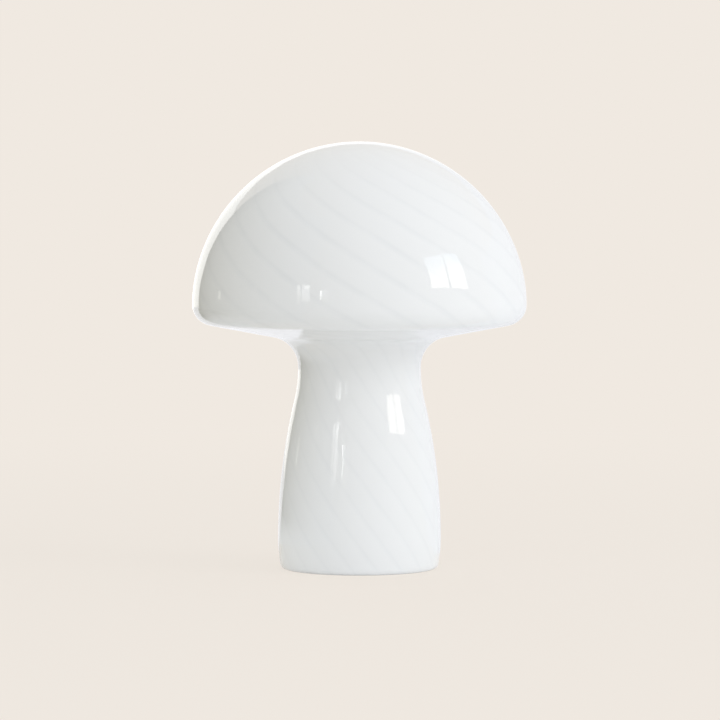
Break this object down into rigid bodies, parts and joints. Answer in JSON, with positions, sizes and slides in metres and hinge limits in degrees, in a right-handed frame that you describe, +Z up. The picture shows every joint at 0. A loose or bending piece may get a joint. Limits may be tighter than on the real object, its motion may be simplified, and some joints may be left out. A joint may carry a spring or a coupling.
{
  "type": "mushroom table lamp",
  "caption": "Mushroom-shaped table lamp: a blown opal glass cap and stem in one piece, lifted off a base unit with sprung arms, lampholder and globe bulb.",
  "frame": {"origin": "on the table under the lamp's axis, centre of the foot", "axes": "+Z up along the lamp's axis, -Y to the front, +Y to the back where the cord leaves through the notch"},
  "size_m": [0.18, 0.18, 0.23],
  "materials": {
    "opal_glass": "polished opal, faint swirled streaks",
    "white_enamel": "satin white powder coat",
    "foot_rubber": "matte",
    "black_nylon": "moulded, fine grain",
    "zinc_steel": "bright zinc plate",
    "spring_steel": "satin spring steel",
    "rivet_steel": "bright",
    "clear_silicone": "milky silicone",
    "holder_plastic": "moulded off-white thermoplastic",
    "insert_ceramic": "unglazed steatite",
    "brass": "pressed brass",
    "bulb_glass": "clear, polished",
    "wire_nickel": "drawn wire",
    "phosphor": "yellow phosphor silicone",
    "cap_metal": "rolled aluminium thread",
    "black_glaze": "black glass",
    "solder": "tinned"
  },
  "bodies": {
    "base": {"base_pan": "white_enamel", "rubber_feet": "foot_rubber", "cord_bush": "black_nylon", "stem_tube": "zinc_steel", "lower_washer": "zinc_steel", "lower_nut": "zinc_steel", "upper_washer": "zinc_steel", "upper_nut": "zinc_steel", "arm_feet": "spring_steel", "arm_rivets": "rivet_steel", "holder_dome": "holder_plastic", "holder_insert": "insert_ceramic", "holder_skirt": "holder_plastic", "screw_shell": "brass", "centre_contact": "brass", "terminal_screws": "brass", "locking_screw": "zinc_steel"},
    "glass": {"glass_body": "opal_glass"},
    "bulb_tip": {"cap_contact": "solder"},
    "bulb": {"bulb_envelope": "bulb_glass", "glass_mount": "bulb_glass", "lead_wires": "wire_nickel", "filaments": "phosphor", "bulb_cap": "cap_metal", "cap_insulator": "black_glaze"},
    "arm_1": {"spring_arm_1": "spring_steel", "arm_pad_1": "clear_silicone"},
    "arm_2": {"spring_arm_2": "spring_steel", "arm_pad_2": "clear_silicone"},
    "arm_3": {"spring_arm_3": "spring_steel", "arm_pad_3": "clear_silicone"}
  },
  "joints": [
    {"name": "glass_lift", "type": "slide", "parent": "base", "child": "glass", "axis": [0, 0, 1], "range_m": [0, 0.2]},
    {"name": "bulb_travel", "type": "slide", "parent": "base", "child": "bulb_tip", "axis": [0, 0, 1], "range_m": [0, 0.01128]},
    {"name": "bulb_turn", "type": "hinge", "parent": "bulb_tip", "child": "bulb", "pos_m": [0, 0, 0.12], "axis": [0, 0, 1], "range_deg": [0, 1440]},
    {"name": "arm_1_flex", "type": "hinge", "parent": "base", "child": "arm_1", "pos_m": [0, -0.03099, 0.0178], "axis": [-1, 0, 0], "range_deg": [0, 8], "stiffness_Nm_per_rad": 0.6},
    {"name": "arm_2_flex", "type": "hinge", "parent": "base", "child": "arm_2", "pos_m": [0.02684, 0.0155, 0.0178], "axis": [0.5, -0.866, 0], "range_deg": [0, 8], "stiffness_Nm_per_rad": 0.6},
    {"name": "arm_3_flex", "type": "hinge", "parent": "base", "child": "arm_3", "pos_m": [-0.02684, 0.0155, 0.0178], "axis": [0.5, 0.866, 0], "range_deg": [0, 8], "stiffness_Nm_per_rad": 0.6}
  ],
  "couplings": [
    {"joint": "bulb_turn", "follows": "bulb_travel", "rad_per_m": 2226.3}
  ]
}
